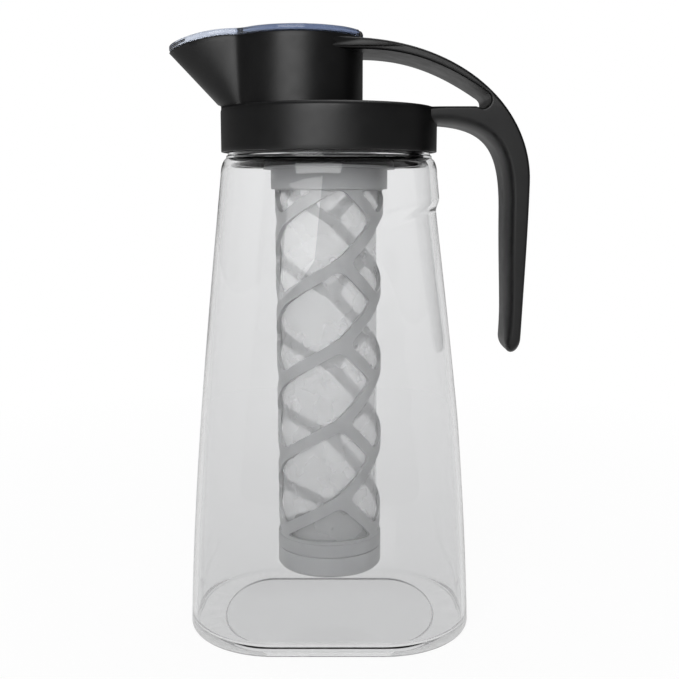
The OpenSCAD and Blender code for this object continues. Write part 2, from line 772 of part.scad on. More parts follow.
module infuser_cap() {
  spigot_r = frame_ri - turn_clear;
  color([0.5, 0.51, 0.52])
    rotate_extrude()
      polygon([
        [0, z_cap], [cap_r - cap_bevel, z_cap], [cap_r, z_cap + cap_bevel], [cap_r, z_seam],
        [spigot_r, z_seam], [spigot_r, z_low], [spigot_r - spigot_t, z_low],
        [spigot_r - spigot_t, z_cap + cap_floor_t], [0, z_cap + cap_floor_t]
      ]);
}

jug_body();
lid_body();
lid_plug();
lid_seal();
handle();
pour_cover();
cover_hinge_pin();
infuser_frame();
infuser_mesh();
infuser_cap();
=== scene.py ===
import math

import bmesh
import bpy
import numpy as np
from mathutils.geometry import tessellate_polygon
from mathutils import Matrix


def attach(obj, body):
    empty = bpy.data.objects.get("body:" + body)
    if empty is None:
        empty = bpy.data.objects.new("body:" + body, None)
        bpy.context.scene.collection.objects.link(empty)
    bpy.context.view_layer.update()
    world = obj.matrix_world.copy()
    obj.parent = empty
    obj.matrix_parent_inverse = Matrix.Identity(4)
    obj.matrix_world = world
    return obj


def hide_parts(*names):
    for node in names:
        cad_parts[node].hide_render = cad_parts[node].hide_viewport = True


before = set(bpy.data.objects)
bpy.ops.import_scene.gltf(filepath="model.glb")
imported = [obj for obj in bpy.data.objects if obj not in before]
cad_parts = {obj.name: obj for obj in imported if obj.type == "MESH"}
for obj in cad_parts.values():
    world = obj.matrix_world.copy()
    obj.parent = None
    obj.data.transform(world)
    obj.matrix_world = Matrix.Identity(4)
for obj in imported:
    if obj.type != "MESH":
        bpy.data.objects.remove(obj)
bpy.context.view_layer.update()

MM = 0.001

# Sizes in millimetres, as in the CAD, apart from the edge of the knuckle recess, which is crisper here.
# The jug's axis is z, the spout points to -x and the handle to +x.
JUG_H, WALL, Z_FLOOR, FOOT = 233.0, 2.5, 4.0, 2.0
BASE_W, SHOULDER_R, BASE_SET_IN = 141.0, 52.5, 1.5
FLAT_W, FLAT_D, LEAST_FLAT = 52.0, 10.0, 0.02
PANEL_W, PANEL_D, PANEL_FLAT, PANEL_H, PANEL_EDGE = 106.0, 80.0, 62.0, 1.2, 0.8
SHOULDER_ROUND, SHOULDER_STEP, NECK_TRIM, SHOULDER_SHARE = 8.0, 3.5, 0.3, 0.6
Z_ROUND = JUG_H - SHOULDER_ROUND
SLOPE_BASE, SLOPE_SHOULDER = -0.03, -0.105
KNUCKLE_DEPTH, KNUCKLE_TOP, KNUCKLE_LOW = 2.2, 211.0, 105.0
KNUCKLE_SPAN, KNUCKLE_DIP, KNUCKLE_LIP, KNUCKLE_FADE = 66.0, 9.0, 7.0, 15.0
NECK_R, BORE_R, Z_NECK, BEAD_T, BEAD_H = 49.0, 46.4, 253.5, 0.7, 1.3
LUGS, LUG_T, LUG_Z, LUG_H, LUG_HALF = 3, 0.9, 242.83, 3.0, 19.0

COLLAR_RI, COLLAR_R, COLLAR_ROUND = 50.3, 52.1, 2.4
Z_COLLAR, Z_DECK, Z_UNDER, Z_RIM = 235.8, 256.9, 253.9, 289.0
CHAMBER_X, CHAMBER_R, LID_WALL, KEEL_SHARE = -14.5, 30.8, 2.2, 1.45
SPOUT_REACH, SPOUT_HALF, SPOUT_DROP, SPOUT_SINK, DIP_BACK = 76.4, 16.75, 6.0, 0.6, 3.5
SPOUT_X = CHAMBER_X - math.sqrt(CHAMBER_R ** 2 - SPOUT_HALF ** 2) + SPOUT_SINK
DIP_START = SPOUT_X - DIP_BACK
# The waist's fillet ends at these shares of the spout's length and the chamber's radius
WAIST_SPOUT, WAIST_CHAMBER = 0.12, 0.74
COVER_CLEAR, COVER_T, BARREL_R, HINGE_LEN = 0.15, 2.9, 2.1, 12.0
HINGE_X = CHAMBER_X + CHAMBER_R - BARREL_R
HINGE_Z = Z_RIM + COVER_CLEAR + COVER_T - BARREL_R
EAR_Y, EAR_T, EAR_R, EAR_SINK, NOTCH_CLEAR = 6.35, 3.4, 1.8, 4.0, 0.35

Z_ARCH, Z_STRUT, ARCH_T, STRUT_T = 287.5, 256.4, 5.4, 7.2
GRIP_X, GRIP_T, GRIP_LOW, HANDLE_W, GRIP_W = 94.7, 10.2, 138.8, 43.0, 30.0
ARCH_X, STRUT_X, BEND_DROP, BEND_IN_DROP = 7.3, 44.1, 35.0, 50.0
TIP_OUT, TIP_IN, TIP_RISE, TIP_LEN, TIP_NARROW = 1.6, 1.2, 7.5, 9.0, 0.6
POCKET_BACK, POCKET_R, POCKET_SINK, POCKET_SLOPE = 23.4, 4.0, 0.9, 53.0
FLARE, FLARE_END, FLARE_LEN = 4.5, 16.0, 14.0
# Roundings of the handle's edge: at its outer side, its finger side, its tip and round its opening.
# Two of them go further across the handle than they go deep, by these factors.
EDGE_OUT, EDGE_FINGERS, EDGE_TIP, EDGE_OPENING = 1.4, 4.2, 2.6, 1.2
EDGE_REACH_FINGERS, EDGE_REACH_TIP = 3.0, 1.5

FRAME_RI, RIB_T, RIB_T_LOW, RIB_W, ROW_PITCH = 24.3, 2.2, 1.5, 5.5, 38.4
Z_CAP, Z_SEAM, Z_LOW, Z_BAND, Z_TOP = 29.4, 39.6, 46.2, 218.3, 245.8
Z_FLANGE, FLANGE_T, FLANGE_R, Z_LOCK, LOCK_H, LOCK_R = 229.0, 1.7, 32.2, 238.2, 3.2, 29.9
BAND_R, BAND_LIP, MESH_R, MESH_T = 28.4, 0.3, 23.8, 0.6
LOCKS, LOCK_HALF, LOCK_SINK, SEAM_GAP, BAND_SINK = 3, 15.0, 1.0, 0.15, 0.05
CAP_DISH_R, CAP_DISH_EDGE, CAP_DISH, CAP_BEVEL, CAP_FLOOR = 16.0, 0.8, 0.4, 1.2, 2.0
SPIGOT_CLEAR, SPIGOT_T = 0.4, 1.8
SEAL_RI, SEAL_R, SEAL_LOW, SEAL_TOP, SEAL_LIP, SEAL_DIP = 44.95, 46.35, 240.95, 244.85, 0.6, 0.25
PIN_R, PIN_BEVEL = 1.0, 0.3


def clamp01(v):
    return max(0.0, min(1.0, v))


def ease(v):
    t = clamp01(v)
    return t * t * (3 - 2 * t)


def lerp(a, b, t):
    return a + (b - a) * t


def curve(a, b, c, d, steps):
    """Points of a cubic curve."""
    t = np.linspace(0, 1, steps + 1)[:, None]
    u = 1 - t
    a, b, c, d = np.array(a), np.array(b), np.array(c), np.array(d)
    return u ** 3 * a + 3 * u * u * t * b + 3 * u * t * t * c + t ** 3 * d


# Mesh helpers

# Angle in degrees from which an edge looks sharp, and points of a circle
CREASE, ROUND_STEPS = 35, 128


def piece(name, shape, mat, body, nodes, merge=0.001):
    """Closed mesh object from a shape in millimetres that rides on a body and stands for CAD nodes.

    Points closer than merge become one.
    """
    mesh = bpy.data.meshes.new(name)
    points = [tuple(float(c) * MM for c in p) for p in shape.points]
    mesh.from_pydata(points, [], [tuple(f) for f in shape.faces])
    bm = bmesh.new()
    bm.from_mesh(mesh)
    bmesh.ops.remove_doubles(bm, verts=bm.verts, dist=merge * MM)
    bmesh.ops.recalc_face_normals(bm, faces=bm.faces)
    bm.to_mesh(mesh)
    bm.free()
    mesh.materials.append(mat)
    mesh.shade_smooth()
    mesh.set_sharp_from_angle(angle=math.radians(CREASE))
    obj = bpy.data.objects.new(name, mesh)
    bpy.context.scene.collection.objects.link(obj)
    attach(obj, body)
    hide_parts(*nodes)
    return obj


def skin(n, count, closed=False):
    """Faces between rings of n points each and, if closed, from the last ring to the first."""
    faces = []
    for k in range(count if closed else count - 1):
        p, q = k * n, (k + 1) % count * n
        faces += [[p + i, p + (i + 1) % n, q + (i + 1) % n, q + i] for i in range(n)]
    return faces


class Shape:
    """Points and faces gathered from several closed shells."""

    def __init__(self):
        self.points, self.faces = [], []

    def add(self, points, faces):
        start = len(self.points)
        self.points.extend(points)
        self.faces.extend([start + i for i in f] for f in faces)
        return self

    def rings(self, rings, closed=False):
        """Skin over rings of equal length, either capped or closed from the last ring to the first."""
        if closed:
            return self.add([p for r in rings for p in r], skin(len(rings[0]), len(rings), True))
        disc = list(range(len(rings[0])))
        return self.capped(rings, [disc[::-1]], [disc])

    def capped(self, rings, first, last):
        """Skin over rings with faces of its own, by point numbers, on the first ring and the last."""
        n, count = len(rings[0]), len(rings)
        ends = first + [[(count - 1) * n + i for i in f] for f in last]
        return self.add([p for r in rings for p in r], skin(n, count) + ends)

    def lathe(self, profile):
        """Closed ring made by turning a profile of (radius, z) about the z axis."""
        return self.rings([circle(r, z) for r, z in profile], closed=True)


def circle(r, z, cx=0.0):
    a = np.linspace(0, 2 * math.pi, ROUND_STEPS, endpoint=False)
    return [(cx + r * math.cos(t), r * math.sin(t), z) for t in a]


# Steps of a rounding, and the least number of times that its reach fits into a side
SOFT_STEPS, SOFT_FIT = 3, 2.1


def soft(corners, reach=0.5):
    """Polygon with each corner rounded over the given reach."""
    pts = [np.array(c, float) for c in corners]
    out = []
    for i, p in enumerate(pts):
        before, after = pts[i - 1] - p, pts[(i + 1) % len(pts)] - p
        lb, la = np.linalg.norm(before), np.linalg.norm(after)
        a = p + before / lb * min(reach, lb / SOFT_FIT)
        b = p + after / la * min(reach, la / SOFT_FIT)
        for t in np.linspace(0, 1, SOFT_STEPS + 1):
            out.append((1 - t) ** 2 * a + 2 * t * (1 - t) * p + t * t * b)
    return out


def inward(path):
    """Unit normals that point into an anticlockwise loop of 2-D points."""
    nxt, prv = np.roll(path, -1, axis=0), np.roll(path, 1, axis=0)
    d = nxt - prv
    d /= np.linalg.norm(d, axis=1)[:, None]
    return np.stack([-d[:, 1], d[:, 0]], axis=1)


def slab_rings(path, radii, span, across=1, steps=5, reach=1.0):
    """Rings of (u, v, w) over a 2-D loop, rounded at both ends of the w span that span(u, v) gives.

    The rounding goes radii deep into the loop and reach times as far along w.
    """
    path, radii = np.array(path, float), np.array(radii, float)
    far = radii * reach
    normal = inward(path)

    def ring(inset, end, drop):
        uv = path + normal * (radii * inset)[:, None]
        rows = []
        for (u, v), r in zip(uv, far):
            low, high = span(u, v)
            rows.append((u, v, high - r * drop if end else low + r * drop))
        return rows

    angles = np.linspace(0, math.pi / 2, steps + 1)
    low = [ring(1 - math.sin(a), False, 1 - math.cos(a)) for a in angles]
    high = [ring(1 - math.sin(a), True, 1 - math.cos(a)) for a in angles[::-1]]
    between = []
    for k in range(1, across):
        t = k / across
        between.append([tuple(lerp(np.array(p), np.array(q), t)) for p, q in zip(low[-1], high[0])])
    return low + between + high


# Materials

# The range in which noise mostly lies
NOISE_LOW, NOISE_HIGH = 0.3, 0.7
# Patches of colour and of gloss per metre
COLOUR_PATCHES, GLOSS_PATCHES, CLEAR_PATCHES = 60.0, 140.0, 90.0
CLEAR_IOR, CLEAR_GLINT = 1.5, (0.5, 0.5, 0.5, 1)
THREADS, THREAD_DEPTH = 320.0, 0.05


def material(name):
    """New material: its nodes, links and shader."""
    mat = bpy.data.materials.new(name)
    mat.use_nodes = True
    nodes, links = mat.node_tree.nodes, mat.node_tree.links
    return mat, nodes, links, nodes["Principled BSDF"]


def noise(nodes, links, scale, detail=3.0):
    """Noise in object space, with the scale in features per metre."""
    where = nodes.new("ShaderNodeTexCoord")
    tex = nodes.new("ShaderNodeTexNoise")
    tex.inputs["Scale"].default_value = scale
    tex.inputs["Detail"].default_value = detail
    links.new(where.outputs["Object"], tex.inputs["Vector"])
    return tex.outputs["Fac"]


def spread(nodes, links, value, low, high):
    """Maps a value from the range of noise to low..high."""
    out = nodes.new("ShaderNodeMapRange")
    out.inputs["From Min"].default_value, out.inputs["From Max"].default_value = NOISE_LOW, NOISE_HIGH
    out.inputs["To Min"].default_value, out.inputs["To Max"].default_value = low, high
    links.new(value, out.inputs["Value"])
    return out.outputs["Result"]


def tint(nodes, links, value, dark, light):
    """Colour between two others by a value in the range of noise."""
    ramp = nodes.new("ShaderNodeValToRGB")
    first, last = ramp.color_ramp.elements
    first.position, last.position = NOISE_LOW, NOISE_HIGH
    first.color, last.color = (*dark, 1), (*light, 1)
    links.new(value, ramp.inputs["Fac"])
    return ramp.outputs["Color"]


def bump(nodes, links, height, depth):
    """Normal of a surface with a height of up to depth millimetres."""
    node = nodes.new("ShaderNodeBump")
    node.inputs["Strength"].default_value = 1.0
    node.inputs["Distance"].default_value = depth * MM
    links.new(height, node.inputs["Height"])
    return node.outputs["Normal"]


def moulded(name, dark, light, rough, grain, grain_depth, specular=0.5):
    """Opaque moulded plastic with a fine grain and slightly uneven gloss."""
    mat, nodes, links, shader = material(name)
    cloud = noise(nodes, links, COLOUR_PATCHES)
    links.new(tint(nodes, links, cloud, dark, light), shader.inputs["Base Color"])
    links.new(spread(nodes, links, noise(nodes, links, GLOSS_PATCHES), *rough), shader.inputs["Roughness"])
    links.new(bump(nodes, links, noise(nodes, links, grain), grain_depth), shader.inputs["Normal"])
    shader.inputs["Specular IOR Level"].default_value = specular
    return mat


def along(nodes, links, axis, start, end):
    """Value that goes through the range of noise over a span of one axis, in millimetres."""
    where, split = nodes.new("ShaderNodeTexCoord"), nodes.new("ShaderNodeSeparateXYZ")
    out = nodes.new("ShaderNodeMapRange")
    out.inputs["From Min"].default_value, out.inputs["From Max"].default_value = start * MM, end * MM
    out.inputs["To Min"].default_value, out.inputs["To Max"].default_value = NOISE_LOW, NOISE_HIGH
    links.new(where.outputs["Object"], split.inputs["Vector"])
    links.new(split.outputs[axis], out.inputs["Value"])
    return out.outputs["Result"]


def clear(name, dark, light, way, rough, wave, wave_depth, clarity=1.0):
    """Clear moulded plastic with the slight waves that moulding leaves, and painted shade: its colour gets
    lighter along a span.
    """
    mat, nodes, links, shader = material(name)
    links.new(tint(nodes, links, along(nodes, links, *way), dark, light), shader.inputs["Base Color"])
    links.new(spread(nodes, links, noise(nodes, links, CLEAR_PATCHES), *rough), shader.inputs["Roughness"])
    links.new(bump(nodes, links, noise(nodes, links, wave, detail=1.0), wave_depth), shader.inputs["Normal"])
    shader.inputs["Transmission Weight"].default_value = clarity
    shader.inputs["IOR"].default_value = CLEAR_IOR
    shader.inputs["Specular Tint"].default_value = CLEAR_GLINT
    return mat


def absorb(mat, colour, density):
    """Lets a clear material take more light the longer the way through it, with the density per metre."""
    nodes, links = mat.node_tree.nodes, mat.node_tree.links
    volume = nodes.new("ShaderNodeVolumeAbsorption")
    volume.inputs["Color"].default_value = (*colour, 1)
    volume.inputs["Density"].default_value = density
    links.new(volume.outputs["Volume"], nodes["Material Output"].inputs["Volume"])


def smoke(name, dark, light, rough, alpha):
    """Translucent grey plastic."""
    mat = moulded(name, dark, light, rough, grain=1800.0, grain_depth=0.02, specular=0.4)
    mat.node_tree.nodes["Principled BSDF"].inputs["Alpha"].default_value = alpha
    return mat


def paint_shade_up(mat, start, end, share):
    """Paints shade into a material's colour: it falls to a share of itself up a span of z."""
    nodes, links = mat.node_tree.nodes, mat.node_tree.links
    colour = nodes["Principled BSDF"].inputs["Base Color"]
    scale = nodes.new("ShaderNodeVectorMath")
    scale.operation = "MULTIPLY"
    links.new(colour.links[0].from_socket, scale.inputs[0])
    links.new(tint(nodes, links, along(nodes, links, "Z", start, end), (1, 1, 1), (share, share, share)),
              scale.inputs[1])
    links.new(scale.outputs["Vector"], colour)


def woven(name, dark, light, alpha):
    """Fine woven mesh: two crossing sets of threads round the tube."""
    mat = smoke(name, dark, light, rough=(0.45, 0.6), alpha=alpha)
    nodes, links = mat.node_tree.nodes, mat.node_tree.links
    where = nodes.new("ShaderNodeTexCoord")
    threads = []
    for direction in ("Z", "DIAGONAL"):
        wave = nodes.new("ShaderNodeTexWave")
        wave.bands_direction = direction
        wave.inputs["Scale"].default_value = THREADS
        links.new(where.outputs["Object"], wave.inputs["Vector"])
        threads.append(wave.outputs["Fac"])
    both = nodes.new("ShaderNodeMath")
    both.operation = "MAXIMUM"
    links.new(threads[0], both.inputs[0])
    links.new(threads[1], both.inputs[1])
    normal = bump(nodes, links, both.outputs["Value"], THREAD_DEPTH)
    links.new(normal, nodes["Principled BSDF"].inputs["Normal"])
    return mat


def steel(name):
    mat = moulded(name, dark=(0.50, 0.50, 0.51), light=(0.62, 0.62, 0.63), rough=(0.22, 0.36),
                  grain=3000.0, grain_depth=0.01)
    mat.node_tree.nodes["Principled BSDF"].inputs["Metallic"].default_value = 1.0
    return mat


BLACK = moulded("black_plastic", dark=(0.0015, 0.0015, 0.0017), light=(0.0025, 0.0025, 0.0027),
                rough=(0.36, 0.43), grain=2200.0, grain_depth=0.02, specular=0.35)
# Painted shade: the jug's colour gets darker towards its base.
CLEAR_JUG = clear("clear_jug", dark=(0.803, 0.805, 0.808), light=(0.933, 0.935, 0.938),
                  way=("Z", 0.0, Z_ROUND), rough=(0.01, 0.03), wave=18.0, wave_depth=0.12)
absorb(CLEAR_JUG, (0.2, 0.2, 0.21), density=20.0)
# Painted shade: the cover's colour is darker over the chamber, standing in for the black lid seen through it,
# and lighter over the spout.
CLEAR_COVER = clear("clear_cover", dark=(0.40, 0.45, 0.57), light=(0.94, 0.96, 1.0),
                    way=("X", CHAMBER_X - 8.0, SPOUT_X - 12.0), rough=(0.02, 0.05),
                    wave=30.0, wave_depth=0.05, clarity=0.94)
absorb(CLEAR_COVER, (0.28, 0.38, 0.57), density=24.0)
SILICONE = moulded("silicone", dark=(0.62, 0.63, 0.63), light=(0.70, 0.71, 0.71), rough=(0.5, 0.62),
                   grain=1500.0, grain_depth=0.02)
SMOKE = smoke("smoke_plastic", dark=(0.50, 0.505, 0.51), light=(0.57, 0.575, 0.58), rough=(0.3, 0.42),
              alpha=0.85)
# Painted shade: the infuser's top band gets darker up towards the lid, in whose shade it sits.
paint_shade_up(SMOKE, Z_BAND - 4.0, Z_FLANGE, share=0.55)
MESH = woven("infuser_mesh", dark=(0.86, 0.865, 0.87), light=(0.92, 0.925, 0.93), alpha=0.27)
STEEL = steel("pin_steel")


# Jug

CORNER_STEPS = 64
# Heights between which the rings of the wall lie closer, for the edge of the recess
DENSE_LOW, DENSE_TOP = 186.0, 214.0


def half_w(z):
    t = clamp01(z / Z_ROUND)
    s, c = t * t, t * t * t
    return ((2 * c - 3 * s + 1) * BASE_W / 2 + (c - 2 * s + t) * Z_ROUND * SLOPE_BASE
            + (3 * s - 2 * c) * SHOULDER_R + (c - s) * Z_ROUND * SLOPE_SHOULDER)


def half_d(z):
    return SHOULDER_R - BASE_SET_IN / 2 * (1 - clamp01(z / Z_ROUND))


def loop(a, b, sx, sy, z):
    """Rectangle with elliptical corners: half width a, half depth b, straight up to sx and sy."""
    out = []
    for q in range(4):
        mx, my = (1 if q in (0, 3) else -1), (1 if q < 2 else -1)
        for i in range(CORNER_STEPS + 1):
            f = math.pi / 2 * (q + i / CORNER_STEPS)
            out.append((mx * sx + (a - sx) * math.cos(f), my * sy + (b - sy) * math.sin(f), z))
    return out


def knuckle(x, y, z):
    """Depth of the recess for the knuckles on the handle's side."""
    a = abs(math.degrees(math.atan2(y, x)))
    edge = KNUCKLE_TOP - KNUCKLE_DIP * (a / KNUCKLE_SPAN) ** 2
    return (KNUCKLE_DEPTH * ease((edge - z) / KNUCKLE_LIP + 0.5)
            * clamp01((z - KNUCKLE_LOW) / (KNUCKLE_TOP - KNUCKLE_LOW))
            * ease((KNUCKLE_SPAN - a) / KNUCKLE_FADE))


def wall_ring(z, inset):
    s = max(LEAST_FLAT, 1 - z / Z_ROUND)
    ring = []
    for x, y, _ in loop(half_w(z) - inset, half_d(z) - inset, s * FLAT_W / 2, s * FLAT_D / 2, z):
        k = 1 - knuckle(x, y, z) / math.hypot(x, y)
        ring.append((x * k, y * k, z))
    return ring


def panel_ring(grow, z):
    return loop(PANEL_W / 2 + grow, PANEL_D / 2 + grow, PANEL_FLAT / 2, LEAST_FLAT, z)


def shoulder_ring(a, inset):
    r = NECK_R + NECK_TRIM + (SHOULDER_STEP - NECK_TRIM) * math.cos(a) - inset
    z = Z_ROUND + (SHOULDER_ROUND - inset * SHOULDER_SHARE) * math.sin(a)
    return loop(r, r, LEAST_FLAT, LEAST_FLAT, z)


def neck_ring(r, z, lug=0.0):
    """Ring of the neck, with lugs that stand out by lug."""
    ring, half_turn = [], 180 / LUGS
    for x, y, _ in loop(r, r, LEAST_FLAT, LEAST_FLAT, z):
        off = (math.degrees(math.atan2(y, x)) + half_turn) % (2 * half_turn) - half_turn
        k = 1 + (lug / r if abs(off) <= LUG_HALF else 0)
        ring.append((x * k, y * k, z))
    return ring


def make_jug():
    quarter = np.linspace(0, math.pi / 2, 9)
    step = [(PANEL_EDGE * t, PANEL_H * (1 - ease(t))) for t in np.linspace(0, 1, 6)]
    levels = np.concatenate([np.linspace(FOOT, DENSE_LOW, 70)[1:], np.linspace(DENSE_LOW, DENSE_TOP, 48)[1:],
                             np.linspace(DENSE_TOP, Z_ROUND, 6)[1:-1]])
    inner_foot, bore_low = FOOT + 1, JUG_H - 1
    edge, lip, bead_foot = 0.3, 0.5, 0.2
    bead_r, bead_top, lug_top = NECK_R + BEAD_T, JUG_H + BEAD_H, LUG_Z + LUG_H
    neck = [(bead_r, JUG_H, 0), (bead_r, bead_top - edge, 0), (bead_r - edge, bead_top, 0),
            (NECK_R, bead_top + bead_foot, 0), (NECK_R, LUG_Z - edge, 0), (NECK_R, LUG_Z, LUG_T),
            (NECK_R, lug_top, LUG_T), (NECK_R, lug_top + edge, 0), (NECK_R, Z_NECK - lip, 0),
            (NECK_R - lip, Z_NECK, 0), (BORE_R + lip, Z_NECK, 0), (BORE_R, Z_NECK - lip, 0),
            (BORE_R, bore_low, 0)]
    rings = [panel_ring(*s) for s in step]
    rings += [wall_ring(FOOT * (1 - math.cos(a)), FOOT * (1 - math.sin(a))) for a in quarter]
    rings += [wall_ring(z, 0) for z in levels]
    rings += [shoulder_ring(a, 0) for a in quarter[:-1]]
    rings += [neck_ring(*n) for n in neck]
    rings += [shoulder_ring(a, WALL) for a in quarter[::-1]]
    rings += [wall_ring(z, WALL) for z in levels[::-1] if z > Z_FLOOR + inner_foot]
    rings += [wall_ring(Z_FLOOR + inner_foot * (1 - math.sin(a)), WALL + inner_foot * (1 - math.cos(a)))
              for a in quarter]
    piece("jug", Shape().rings(rings), CLEAR_JUG, "jug", ["jug_body"])


# Lid

OUTLINE_STEPS = 96


def tower_outline(level, inset):
    """Half outline of the chamber and the spout from tip to rear: level 0 at the deck, 1 at the rim."""
    r, half = CHAMBER_R - inset, SPOUT_HALF - inset
    nose = lerp(COLLAR_R, SPOUT_REACH, level) + SPOUT_X - inset * KEEL_SHARE
    tip, rear = SPOUT_X - nose, CHAMBER_X + r
    start, end = SPOUT_X - WAIST_SPOUT * nose, CHAMBER_X - WAIST_CHAMBER * r
    fall, rise = math.sqrt(1 - WAIST_SPOUT ** 2), math.sqrt(1 - WAIST_CHAMBER ** 2)
    beak, beak_slope = half * fall, half / nose * WAIST_SPOUT / fall
    disc, disc_slope = r * rise, WAIST_CHAMBER / rise
    third = (end - start) / 3
    waist = (beak, beak + beak_slope * third, disc - disc_slope * third, disc)
    out = []
    for i in range(OUTLINE_STEPS + 1):
        x = tip + (rear - tip) * (1 - math.cos(math.pi * i / OUTLINE_STEPS)) / 2
        if x < start:
            y = half * math.sqrt(max(0.0, 1 - ((x - SPOUT_X) / nose) ** 2))
        elif x > end:
            y = math.sqrt(max(0.0, r * r - (x - CHAMBER_X) ** 2))
        else:
            t = (x - start) / (end - start)
            weights = ((1 - t) ** 3, 3 * (1 - t) ** 2 * t, 3 * (1 - t) * t * t, t ** 3)
            y = sum(w * c for w, c in zip(waist, weights))
        out.append((x, y))
    return out


def rim_z(x):
    return Z_RIM - SPOUT_DROP * clamp01((DIP_START - x) / (DIP_START + SPOUT_REACH)) ** 2


def mirrored(half, heights):
    """Closed ring from a half outline and a height for each of its points."""
    front = [(x, -y, z) for (x, y), z in zip(half, heights)]
    back = [(x, y, z) for (x, y), z in zip(half, heights)]
    return front + back[-2:0:-1]


def tower_ring(level, inset=0.0, drop=0.0):
    tops = [rim_z(x) - drop for x, _ in tower_outline(1, inset)]
    return mirrored(tower_outline(level, inset), [lerp(Z_DECK, z, level) for z in tops])


def within(p, r):
    """Point drawn in to a radius about the z axis."""
    k = min(1, r / math.hypot(p[0], p[1]))
    return (p[0] * k, p[1] * k, p[2])


def make_tower(shape):
    foot, collar_gap, edge, bevel, start = 1.5, 0.3, 0.5, 0.15, 0.06
    # Insets and heights of the flare at the deck
    flare = [(-0.9, -foot), (-0.9, 0.0), (-0.35, 0.12), (-0.1, 0.4), (0.0, 0.9)]
    outer = []
    for inset, rise in flare:
        half = tower_outline(max(0, rise) / (Z_RIM - Z_DECK), inset)
        ring = mirrored(half, [Z_DECK + rise] * len(half))
        outer.append([within(p, COLLAR_R - collar_gap) for p in ring])
    outer += [tower_ring(t, 0, edge) for t in np.linspace(start, 1, 16)]
    rim = [tower_ring(1, bevel, bevel), tower_ring(1, edge), tower_ring(1, LID_WALL - edge),
           tower_ring(1, LID_WALL - bevel, bevel)]
    inner = [tower_ring(t, LID_WALL, edge) for t in np.linspace(1, 0, 14)]
    half = tower_outline(0, LID_WALL)
    inner.append(mirrored(half, [Z_DECK - foot] * len(half)))
    shape.rings(outer + rim + inner, closed=True)


def make_collar(shape):
    edge, straight, inner_edge, corner_r, hole_edge, hole_drop = 0.5, 2.0, 0.3, 1.0, 0.9, 0.3
    hole = CHAMBER_R - LID_WALL / 2
    lower = [(edge, 0.0), (0.1, 0.15), (0.0, edge)]
    rings = [circle(COLLAR_R - inset, Z_COLLAR + rise) for inset, rise in lower]
    rings += [circle(COLLAR_R, z) for z in np.linspace(Z_COLLAR + straight, Z_DECK - COLLAR_ROUND, 8)]
    rings += [circle(COLLAR_R - COLLAR_ROUND * (1 - math.cos(a)), Z_DECK - COLLAR_ROUND * (1 - math.sin(a)))
              for a in np.linspace(0, math.pi / 2, 9)[1:]]
    rings += [circle(hole, Z_DECK, CHAMBER_X), circle(hole - hole_edge, Z_DECK - hole_drop, CHAMBER_X),
              circle(CHAMBER_R - LID_WALL, Z_UNDER, CHAMBER_X)]
    rings += [circle(COLLAR_RI - corner_r, Z_UNDER), circle(COLLAR_RI, Z_UNDER - corner_r),
              circle(COLLAR_RI, Z_COLLAR + edge), circle(COLLAR_RI + inner_edge, Z_COLLAR)]
    shape.rings(rings, closed=True)


def make_ears(shape):
    shoulder, bevel, arc_start, arc_end = 0.8, 0.35, math.radians(-40), math.radians(180)
    right, foot = HINGE_X + shoulder, Z_RIM - EAR_SINK
    arc = [(HINGE_X + EAR_R * math.cos(a), HINGE_Z + EAR_R * math.sin(a))
           for a in np.linspace(arc_start, arc_end, 14)]
    side = [(HINGE_X - EAR_R, foot), (right, foot), (right, Z_RIM - shoulder)] + arc
    for y in (-EAR_Y - EAR_T, EAR_Y):
        rings = slab_rings(side, [bevel] * len(side), lambda u, v: (y, y + EAR_T), steps=3)
        shape.rings([[(u, w, v) for u, v, w in r] for r in rings])


def make_lid():
    shape = Shape()
    make_tower(shape)
    make_collar(shape)
    make_ears(shape)
    piece("lid", shape, BLACK, "lid", ["lid_body"])


# Handle

